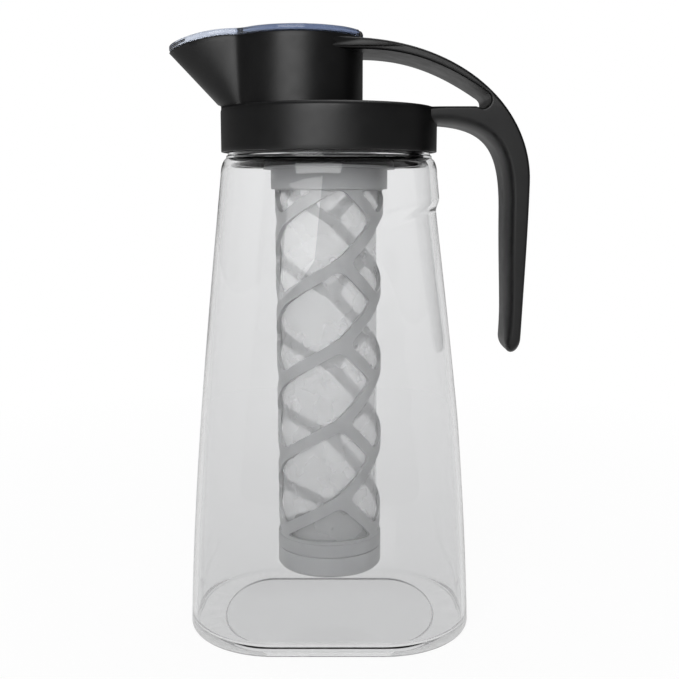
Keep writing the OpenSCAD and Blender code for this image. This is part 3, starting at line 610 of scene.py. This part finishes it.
def handle_loop():
    """Side outline, anticlockwise in x and z, with how deep and how far its edge is rounded at each point.

    The inner two points of each curve are set by how far they pull it.
    """
    arch_pull, bend_pull, inner_pull, strut_pull, tip_pull, tip_round = 0.62, 0.52, 0.78, 0.82, 0.45, 0.55
    back_pull, front_low_pull, front_top_pull, pocket_pull, root_pull = 30.0, 25.0, 20.0, 28.0, 17.0
    lean, roof_rise, back_off = 0.3, 1.2, 3.0
    bend, bend_in, grip_in = Z_STRUT - BEND_DROP, Z_STRUT - BEND_IN_DROP, GRIP_X - GRIP_T
    tip_out, tip_in, tip_top = GRIP_X - TIP_OUT, grip_in + TIP_IN, GRIP_LOW + TIP_RISE
    tip_x, tip_side = (tip_out + tip_in) / 2, GRIP_LOW + tip_pull * TIP_RISE
    pocket_x, pocket_z = GRIP_X - POCKET_BACK, Z_STRUT - POCKET_SINK + POCKET_R
    roof, floor, slope = Z_ARCH - ARCH_T, Z_STRUT - STRUT_T, math.radians(POCKET_SLOPE)
    slope_x, slope_z = pocket_x + POCKET_R * math.cos(slope), pocket_z + POCKET_R * math.sin(slope)
    outer = curve((ARCH_X, Z_ARCH), (ARCH_X + arch_pull * (GRIP_X - ARCH_X), Z_ARCH),
                  (GRIP_X, bend + bend_pull * (Z_ARCH - bend)), (GRIP_X, bend), 40)
    back = curve((GRIP_X, bend), (GRIP_X, bend - back_pull), (tip_out + lean, GRIP_LOW + back_pull),
                 (tip_out, tip_top), 16)
    tip = np.concatenate([
        curve((tip_out, tip_top), (tip_out, tip_side), (lerp(tip_x, tip_out, tip_round), GRIP_LOW),
              (tip_x, GRIP_LOW), 8),
        curve((tip_x, GRIP_LOW), (lerp(tip_x, tip_in, tip_round), GRIP_LOW), (tip_in, tip_side),
              (tip_in, tip_top), 8)[1:]])
    front = curve((tip_in, tip_top), (tip_in, GRIP_LOW + front_low_pull), (grip_in, bend_in - front_top_pull),
                  (grip_in, bend_in), 16)
    inner = curve((grip_in, bend_in), (grip_in, bend_in + inner_pull * (floor - bend_in)),
                  (STRUT_X + strut_pull * (grip_in - STRUT_X), floor), (STRUT_X, floor), 30)
    strut = np.linspace((STRUT_X, Z_STRUT), (pocket_x - back_off, Z_STRUT), 8)
    pocket = np.array([(pocket_x + POCKET_R * math.cos(a), pocket_z + POCKET_R * math.sin(a))
                       for a in np.linspace(-math.pi / 2, slope, 14)])
    under = curve((slope_x, slope_z), (pocket_x - pocket_pull, roof + roof_rise), (ARCH_X + root_pull, roof),
                  (ARCH_X - back_off, roof), 30)
    root = np.array([(2.0, roof), (0.0, roof), (0.0, Z_ARCH), (2.0, Z_ARCH), (5.0, Z_ARCH)])
    parts = [(outer, EDGE_OUT, 1), (back[1:], EDGE_OUT, 1), (tip[1:], EDGE_TIP, EDGE_REACH_TIP),
             (front[1:], EDGE_FINGERS, EDGE_REACH_FINGERS), (inner[1:], EDGE_FINGERS, EDGE_REACH_FINGERS),
             (strut, EDGE_OPENING, 1), (pocket, EDGE_OPENING, 1), (under[1:], EDGE_OPENING, 1),
             (root, EDGE_OPENING, 1)]
    points = np.concatenate([p for p, _, _ in parts])[::-1]
    edges = np.concatenate([[(r, s)] * len(p) for p, r, s in parts])[::-1]
    for _ in range(6):
        edges = (np.roll(edges, 1, axis=0) + edges + np.roll(edges, -1, axis=0)) / 3
    return points, edges[:, 0], edges[:, 1]


def handle_half(x, z):
    """Half width: narrower down the grip, drawn in at its tip and flared where the arch meets the chamber."""
    t, end = clamp01((z - GRIP_LOW) / (Z_STRUT - GRIP_LOW)), clamp01((z - GRIP_LOW) / TIP_LEN)
    flare = FLARE * clamp01((FLARE_END - x) / FLARE_LEN) ** 2
    return lerp(GRIP_W, HANDLE_W, t) / 2 * lerp(TIP_NARROW, 1, math.sqrt(end * (2 - end))) + flare


def rooted(x, y, z):
    """Point of the handle kept out of the inside of the collar and the chamber."""
    collar_sink = 0.8
    cx, r = (CHAMBER_X, CHAMBER_R - LID_WALL / 2) if z > Z_DECK else (0.0, COLLAR_R - collar_sink)
    return (max(x, cx + math.sqrt(max(0.0, r * r - y * y))), y, z)


def make_handle():
    points, radii, reach = handle_loop()
    rings = slab_rings(points, radii, lambda u, v: (-handle_half(u, v), handle_half(u, v)),
                       across=8, steps=10, reach=reach)
    rings = [[rooted(u, w, v) for u, v, w in ring] for ring in rings]
    cap = [list(t) for t in tessellate_polygon([[(x, z, 0) for x, _, z in rings[0]]])]
    shape = Shape().capped(rings, cap, [t[::-1] for t in cap])
    obj = piece("strap_handle", shape, BLACK, "lid", ["handle"], merge=0.02)
    obj.modifiers.new("flat_sides", "WEIGHTED_NORMAL").keep_sharp = True


# Pour cover

def make_cover():
    edge, barrel_bevel, arc_start, arc_end = 0.8, 0.3, math.radians(-157), math.radians(90)
    back_x, gap = HINGE_X - BARREL_R - NOTCH_CLEAR, EAR_Y + EAR_T + NOTCH_CLEAR
    outline = tower_outline(1, 0)
    main = [p for p in outline if p[0] < back_x]
    horn = [p for p in outline if p[0] >= back_x and p[1] > gap]
    half = main + horn + [(back_x, gap)]
    ring = [(x, -y) for x, y in half] + [(x, y) for x, y in half[::-1] if y > 0]
    rings = slab_rings(ring, [edge] * len(ring),
                       lambda u, v: (rim_z(u) + COVER_CLEAR, rim_z(u) + COVER_CLEAR + COVER_T))
    n, h, m = len(ring), len(half), len(main)
    other = [(n - i) % n for i in range(h)]
    cap = [[0, 1, other[1]]] + [[i, i + 1, other[i + 1], other[i]] for i in range(1, m - 1)]
    cap.append([m - 1, h - 1, other[h - 1], other[m - 1]])
    cap.append(list(range(m - 1, h)))
    cap.append([other[i] for i in range(h - 1, m - 2, -1)])
    shape = Shape().capped(rings, [f[::-1] for f in cap], cap)
    base, top, barrel_x = Z_RIM + COVER_CLEAR, Z_RIM + COVER_CLEAR + COVER_T, HINGE_X - 2 * BARREL_R
    arc = [(HINGE_X + BARREL_R * math.cos(a), HINGE_Z + BARREL_R * math.sin(a))
           for a in np.linspace(arc_start, arc_end, 20)]
    side = [(barrel_x, base)] + arc + [(barrel_x, top)]
    rings = slab_rings(side, [barrel_bevel] * len(side), lambda u, v: (-HINGE_LEN / 2, HINGE_LEN / 2),
                       steps=3)
    shape.rings([[(u, w, v) for u, v, w in r] for r in rings])
    piece("pour_cover_clear", shape, CLEAR_COVER, "cover", ["pour_cover"])


# Infuser

COLUMNS, ROWS = 3, 4
LAT_R = FRAME_RI + RIB_T / 2
GIRTH = 2 * math.pi * LAT_R
ANGLE_A, ANGLE_B = 13.6, 59.6
JOINT_A, JOINT_B = ANGLE_A / 360 * GIRTH, ANGLE_B / 360 * GIRTH
Z_RING_TOP, Z_RING_LOW, RING_SINK, FIRST_RISE = Z_BAND - 0.4, Z_LOW + 1.5, 1.6, 4.4
Z_LAT_TOP, Z_LAT_LOW = Z_BAND + RING_SINK, Z_LOW - RING_SINK
CORNER_LEN, CORNER_N, STRAIGHT_N, ACROSS_N = 4.0, 4, 8, 4


def va(c, k):
    """Joint of the first kind in column c and row k, on the unrolled tube."""
    return np.array([JOINT_A + c * GIRTH / COLUMNS, Z_RING_TOP + FIRST_RISE - k * ROW_PITCH])


def vb(c, k):
    """Joint of the second kind, half a row lower."""
    return np.array([JOINT_B + c * GIRTH / COLUMNS, Z_RING_TOP + FIRST_RISE - (k + 0.5) * ROW_PITCH])


def unit(v):
    return v / np.linalg.norm(v)


def left_of(d):
    return np.array([-d[1], d[0]])


def cross2(a, b):
    return a[0] * b[1] - a[1] * b[0]


def corner(v, p, q):
    """Window corner at joint v between the ribs to p and to q: its point and the two ways from it."""
    d, e = unit(p - v), unit(q - v)
    off = -RIB_W / 2 * (left_of(e) + left_of(d))
    return v + RIB_W / 2 * left_of(d) + d * cross2(off, e) / cross2(d, e), d, e


def band_corner(v, p, side, z, way):
    """Corner where one side of the rib from v to p meets the edge of a band."""
    d = unit(p - v)
    s = v + side * RIB_W / 2 * left_of(d)
    return s + d * (z - s[1]) / d[1], d, np.array(way, float)


def turned(c):
    """The same corner with its two ways swapped."""
    return c[0], c[2], c[1]


def round_pt(c, t):
    """Point on a rounded corner, with t 0 on its first way and 1 on its second."""
    return c[0] + CORNER_LEN * ((1 - t) ** 2 * c[1] + t * t * c[2])


def rib_edge(c, e):
    """Edge of a rib from the middle of one rounded corner to the middle of the next."""
    first = [round_pt(c, 0.5 - 0.5 * i / CORNER_N) for i in range(CORNER_N + 1)]
    straight = [lerp(round_pt(c, 0), round_pt(e, 0), i / STRAIGHT_N) for i in range(1, STRAIGHT_N)]
    return first + straight + [round_pt(e, 0.5 - 0.5 * i / CORNER_N) for i in range(CORNER_N, -1, -1)]


# Window corners at the joints, each named for the side of the joint where its window lies

def a_right(c, k):
    if k == 0:
        return band_corner(va(c, k), vb(c, k), 1, Z_RING_TOP, (1, 0))
    return corner(va(c, k), vb(c, k), vb(c, k - 1))


def a_below(c, k):
    return corner(va(c, k), vb(c - 1, k), vb(c, k))


def a_upper(c, k):
    if k == 0:
        return turned(band_corner(va(c, k), vb(c - 1, k), -1, Z_RING_TOP, (-1, 0)))
    return corner(va(c, k), vb(c, k - 1), vb(c - 1, k))


def b_above(c, k):
    return corner(vb(c, k), va(c + 1, k), va(c, k))


def b_left(c, k):
    if k == ROWS:
        return band_corner(vb(c, k), va(c, k), 1, Z_RING_LOW, (-1, 0))
    return corner(vb(c, k), va(c, k), va(c, k + 1))


def b_lower(c, k):
    if k == ROWS:
        return turned(band_corner(vb(c, k), va(c + 1, k), -1, Z_RING_LOW, (1, 0)))
    return corner(vb(c, k), va(c, k + 1), va(c + 1, k))


def mid(c):
    return round_pt(c, 0.5)


def at_z(points, z):
    return [np.array([p[0], z]) for p in points]


def bent_edge(*corners):
    """Points along the lines between corner middles, as many as lie across a rib."""
    out = []
    for a, b in zip(corners, corners[1:]):
        out += [lerp(a, b, i / ACROSS_N) for i in range(ACROSS_N)]
    return out + [corners[-1]]


def lattice_strips():
    """Strips of the lattice as pairs of edges, each with whether its two sides are walls."""
    strips = []
    for c in range(COLUMNS):
        for k in range(ROWS + 1):
            strips.append((rib_edge(a_right(c, k), turned(b_above(c, k))),
                           rib_edge(turned(a_below(c, k)), b_left(c, k)), True, True))
            strips.append((rib_edge(a_below(c, k), turned(b_lower(c - 1, k))),
                           rib_edge(turned(a_upper(c, k)), b_above(c - 1, k)), True, True))
        for k in range(ROWS):
            strips.append((rib_edge(b_lower(c, k), turned(a_right(c, k + 1))),
                           rib_edge(turned(b_left(c, k)), a_upper(c, k + 1)), True, True))
        top = rib_edge(turned(a_right(c, 0)), a_upper(c + 1, 0))
        low = rib_edge(b_lower(c, ROWS), turned(b_left(c + 1, ROWS)))
        strips += [(at_z(top, Z_LAT_TOP), top, True, True), (low, at_z(low, Z_LAT_LOW), True, True)]
        top = bent_edge(mid(a_upper(c, 0)), mid(a_below(c, 0)), mid(a_right(c, 0)))
        low = bent_edge(mid(b_left(c, ROWS)), mid(b_above(c, ROWS)), mid(b_lower(c, ROWS)))
        strips += [(at_z(top, Z_LAT_TOP), top, True, False), (low, at_z(low, Z_LAT_LOW), False, True)]
    return strips


def lattice_joints():
    """Three-cornered patches where ribs meet."""
    out = []
    for c in range(COLUMNS):
        out += [(mid(a_right(c, k)), mid(a_upper(c, k)), mid(a_below(c, k))) for k in range(1, ROWS + 1)]
        out += [(mid(b_above(c, k)), mid(b_left(c, k)), mid(b_lower(c, k))) for k in range(ROWS)]
    return out


def wrap(p, outside):
    """Point on the round tube for a point on the unrolled one."""
    r = FRAME_RI
    if outside:
        r += RIB_T_LOW + (RIB_T - RIB_T_LOW) * (p[1] - Z_LOW) / (Z_BAND - Z_LOW)
    a = p[0] / LAT_R
    return (r * math.sin(a), -r * math.cos(a), p[1])


def add_patch(shape, corners):
    """The same patch on the outside and the inside of the lattice."""
    for outside in (True, False):
        shape.add([wrap(p, outside) for p in corners], [list(range(len(corners)))])


def add_wall(shape, a, b):
    shape.add([wrap(a, True), wrap(b, True), wrap(b, False), wrap(a, False)], [[0, 1, 2, 3]])


def add_lattice(shape):
    for left, right, left_wall, right_wall in lattice_strips():
        rows = [[lerp(l, r, j / ACROSS_N) for j in range(ACROSS_N + 1)] for l, r in zip(left, right)]
        for p, q in zip(rows, rows[1:]):
            for j in range(ACROSS_N):
                add_patch(shape, [p[j], p[j + 1], q[j + 1], q[j]])
            if left_wall:
                add_wall(shape, p[0], q[0])
            if right_wall:
                add_wall(shape, p[-1], q[-1])
    for joint in lattice_joints():
        middle = sum(joint) / 3
        for a, b in zip(joint, joint[1:] + joint[:1]):
            steps = [lerp(a, b, i / ACROSS_N) for i in range(ACROSS_N + 1)]
            for p, q in zip(steps, steps[1:]):
                add_patch(shape, [middle, p, q])


def make_infuser():
    shape = Shape()
    add_lattice(shape)
    low_r, inner_r = FRAME_RI + RIB_T_LOW + BAND_LIP, FRAME_RI - BAND_SINK
    flange, seam = Z_FLANGE + FLANGE_T, Z_SEAM + SEAM_GAP
    shape.lathe(soft([(inner_r, Z_BAND), (BAND_R, Z_BAND), (BAND_R, Z_FLANGE), (FLANGE_R, Z_FLANGE),
                      (FLANGE_R, flange), (BAND_R, flange), (BAND_R, Z_TOP), (inner_r, Z_TOP)]))
    shape.lathe(soft([(inner_r, seam), (low_r, seam), (low_r, Z_LOW), (inner_r, Z_LOW)], reach=0.4))
    lock_in, lock_top = BAND_R - LOCK_SINK, Z_LOCK + LOCK_H
    box = soft([(lock_in, Z_LOCK), (LOCK_R, Z_LOCK), (LOCK_R, lock_top), (lock_in, lock_top)], reach=0.3)
    for k in range(LOCKS):
        angles = np.radians(np.linspace(-LOCK_HALF, LOCK_HALF, 9) + 360 / LOCKS * k)
        shape.rings([[(r * math.cos(a), r * math.sin(a), z) for r, z in box] for a in angles])
    obj = piece("infuser_lattice", shape, SMOKE, "infuser", ["infuser_frame"])
    soften = obj.modifiers.new("soft_edges", "BEVEL")
    soften.width, soften.segments = 0.35 * MM, 2
    soften.limit_method, soften.angle_limit = "ANGLE", math.radians(60)


def make_mesh():
    foot = 0.4
    inner_r, low = MESH_R - MESH_T, Z_LOW + foot
    profile = [(inner_r, low), (MESH_R, low), (MESH_R, Z_TOP), (inner_r, Z_TOP)]
    shape = Shape().lathe(soft(profile, reach=0.15))
    piece("infuser_sleeve", shape, MESH, "infuser", ["infuser_mesh"])


def make_cap():
    cap_r, spigot = FRAME_RI + RIB_T_LOW + BAND_LIP, FRAME_RI - SPIGOT_CLEAR
    dish, floor, spigot_in = Z_CAP + CAP_DISH, Z_CAP + CAP_FLOOR, spigot - SPIGOT_T
    corners = [(CAP_DISH_R, dish), (CAP_DISH_R + CAP_DISH_EDGE, Z_CAP), (cap_r - CAP_BEVEL, Z_CAP),
               (cap_r, Z_CAP + CAP_BEVEL), (cap_r, Z_SEAM), (spigot, Z_SEAM), (spigot, Z_LOW),
               (spigot_in, Z_LOW), (spigot_in, floor)]
    axis = [(0.0, floor), (0.0, dish)]
    profile = soft(corners + axis)[:(SOFT_STEPS + 1) * len(corners)]
    shape = Shape().rings([circle(r, z) for r, z in profile])
    piece("infuser_end_cap", shape, SMOKE, "infuser_base", ["infuser_cap"])


# Small pieces

def make_seal():
    dip = SEAL_R - SEAL_DIP
    profile = [(SEAL_RI, SEAL_LOW), (dip, SEAL_LOW), (SEAL_R, SEAL_LOW + SEAL_LIP),
               (dip, SEAL_LOW + 2 * SEAL_LIP), (dip, SEAL_TOP - 2 * SEAL_LIP), (SEAL_R, SEAL_TOP - SEAL_LIP),
               (dip, SEAL_TOP), (SEAL_RI, SEAL_TOP)]
    piece("seal_ring", Shape().lathe(soft(profile, reach=0.3)), SILICONE, "seal", ["lid_seal"])


def make_pin():
    half, end_r = EAR_Y + EAR_T, PIN_R - PIN_BEVEL
    stops = [(-half, end_r), (-half + PIN_BEVEL, PIN_R), (half - PIN_BEVEL, PIN_R), (half, end_r)]
    rings = [[(HINGE_X + r * math.cos(a), y, HINGE_Z + r * math.sin(a))
              for a in np.linspace(0, 2 * math.pi, 32, endpoint=False)] for y, r in stops]
    piece("hinge_pin", Shape().rings(rings), STEEL, "lid", ["cover_hinge_pin"])


def dress_plug():
    """The plug's CAD solid stays, with the black material."""
    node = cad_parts["lid_plug"]
    for place in node.material_slots:
        place.material = BLACK


make_jug()
make_lid()
make_handle()
make_cover()
make_infuser()
make_mesh()
make_cap()
make_seal()
make_pin()
dress_plug()


# Stage

def seen_ray(nodes, links, reflected):
    """1 for rays that show the surroundings, directly or through a clear surface, and less in reflections."""
    path, weaker = nodes.new("ShaderNodeLightPath"), nodes.new("ShaderNodeMath")
    weaker.operation = "MULTIPLY"
    weaker.inputs[1].default_value = reflected
    links.new(path.outputs["Is Glossy Ray"], weaker.inputs[0])
    total = weaker.outputs["Value"]
    for ray in ("Is Camera Ray", "Is Transmission Ray"):
        either = nodes.new("ShaderNodeMath")
        either.operation = "MAXIMUM"
        links.new(total, either.inputs[0])
        links.new(path.outputs[ray], either.inputs[1])
        total = either.outputs["Value"]
    return total


def away(nodes, links, radius, least):
    """From a least value at the object up to 1 at a radius from it."""
    where, place = nodes.new("ShaderNodeTexCoord"), nodes.new("ShaderNodeMapping")
    ball, out = nodes.new("ShaderNodeTexGradient"), nodes.new("ShaderNodeMapRange")
    place.inputs["Scale"].default_value = (1 / radius, 1 / radius, 1 / radius)
    ball.gradient_type = "SPHERICAL"
    out.inputs["To Min"].default_value, out.inputs["To Max"].default_value = 1.0, least
    links.new(where.outputs["Object"], place.inputs["Vector"])
    links.new(place.outputs["Vector"], ball.inputs["Vector"])
    links.new(ball.outputs["Fac"], out.inputs["Value"])
    return out.outputs["Result"]


def make_floor():
    side, patches, dark, light = 30.0, 3.0, (0.94, 0.94, 0.94), (0.95, 0.95, 0.95)
    reflected, shade_radius, shade = 0.2, 0.6, 0.93
    corners = [(-side, -side, 0), (side, -side, 0), (side, side, 0), (-side, side, 0)]
    mesh = bpy.data.meshes.new("floor")
    mesh.from_pydata(corners, [], [(0, 1, 2, 3)])
    mat, nodes, links, shader = material("floor")
    links.new(tint(nodes, links, noise(nodes, links, patches), dark, light), shader.inputs["Base Color"])
    shader.inputs["Roughness"].default_value = 0.8
    shader.inputs["Specular IOR Level"].default_value = 0.1
    glow, mix = nodes.new("ShaderNodeEmission"), nodes.new("ShaderNodeMixShader")
    share = nodes.new("ShaderNodeMath")
    share.operation = "MULTIPLY"
    links.new(seen_ray(nodes, links, reflected), share.inputs[0])
    links.new(away(nodes, links, shade_radius, shade), share.inputs[1])
    links.new(share.outputs["Value"], mix.inputs["Fac"])
    links.new(shader.outputs["BSDF"], mix.inputs[1])
    links.new(glow.outputs["Emission"], mix.inputs[2])
    links.new(mix.outputs["Shader"], nodes["Material Output"].inputs["Surface"])
    mesh.materials.append(mat)
    obj = bpy.data.objects.new("floor", mesh)
    bpy.context.scene.collection.objects.link(obj)


def make_lamp(name, place, aim, size, power):
    """Rectangular lamp at a place in metres that shines at another."""
    data = bpy.data.lights.new(name, "AREA")
    data.shape, data.size, data.size_y = "RECTANGLE", size[0], size[1]
    data.energy = power
    lamp = bpy.data.objects.new(name, data)
    lamp.location = place
    way = np.array(aim) - np.array(place)
    tilt, turn = math.acos(-way[2] / np.linalg.norm(way)), math.atan2(way[1], way[0]) - math.pi / 2
    lamp.rotation_euler = (tilt, 0, turn)
    bpy.context.scene.collection.objects.link(lamp)


def make_world(ambient, reflected, seen):
    """Even white surroundings: white where they are seen, softer as light and in reflections."""
    world = bpy.data.worlds.new("studio")
    bpy.context.scene.world = world
    world.use_nodes = True
    nodes, links = world.node_tree.nodes, world.node_tree.links
    path = nodes.new("ShaderNodeLightPath")
    strength = None
    for ray, value in (("Is Glossy Ray", reflected), ("Is Transmission Ray", seen), ("Is Camera Ray", seen)):
        mix = nodes.new("ShaderNodeMix")
        mix.inputs["A"].default_value, mix.inputs["B"].default_value = ambient, value
        links.new(path.outputs[ray], mix.inputs["Factor"])
        if strength is not None:
            links.new(strength, mix.inputs["A"])
        strength = mix.outputs["Result"]
    back = nodes["Background"]
    back.inputs["Color"].default_value = (1, 1, 1, 1)
    links.new(strength, back.inputs["Strength"])


def make_camera():
    """Camera fitted to the lid's circles in the photograph."""
    tilt_down = 8.67
    data = bpy.data.cameras.new("camera")
    data.sensor_width, data.lens = 36.0, 53.02
    cam = bpy.data.objects.new("camera", data)
    cam.location = (0.0051, -0.4945, 0.2194)
    cam.rotation_euler = (math.radians(90 - tilt_down), 0, 0)
    bpy.context.scene.collection.objects.link(cam)
    bpy.context.scene.camera = cam


make_floor()
make_world(ambient=0.28, reflected=0.15, seen=1.0)
make_lamp("front_lamp", place=(-0.20, -1.05, 0.64), aim=(-0.02, 0, 0.28), size=(0.95, 0.60), power=10.0)
make_lamp("strip_lamp", place=(-0.40, -1.0, 0.19), aim=(0, 0, 0.19), size=(0.64, 0.16), power=1.2)
make_lamp("top_lamp", place=(0.1, 0.3, 1.3), aim=(0, 0, 0.2), size=(0.8, 0.8), power=4.0)
make_camera()
bpy.context.scene.view_settings.view_transform = "Standard"
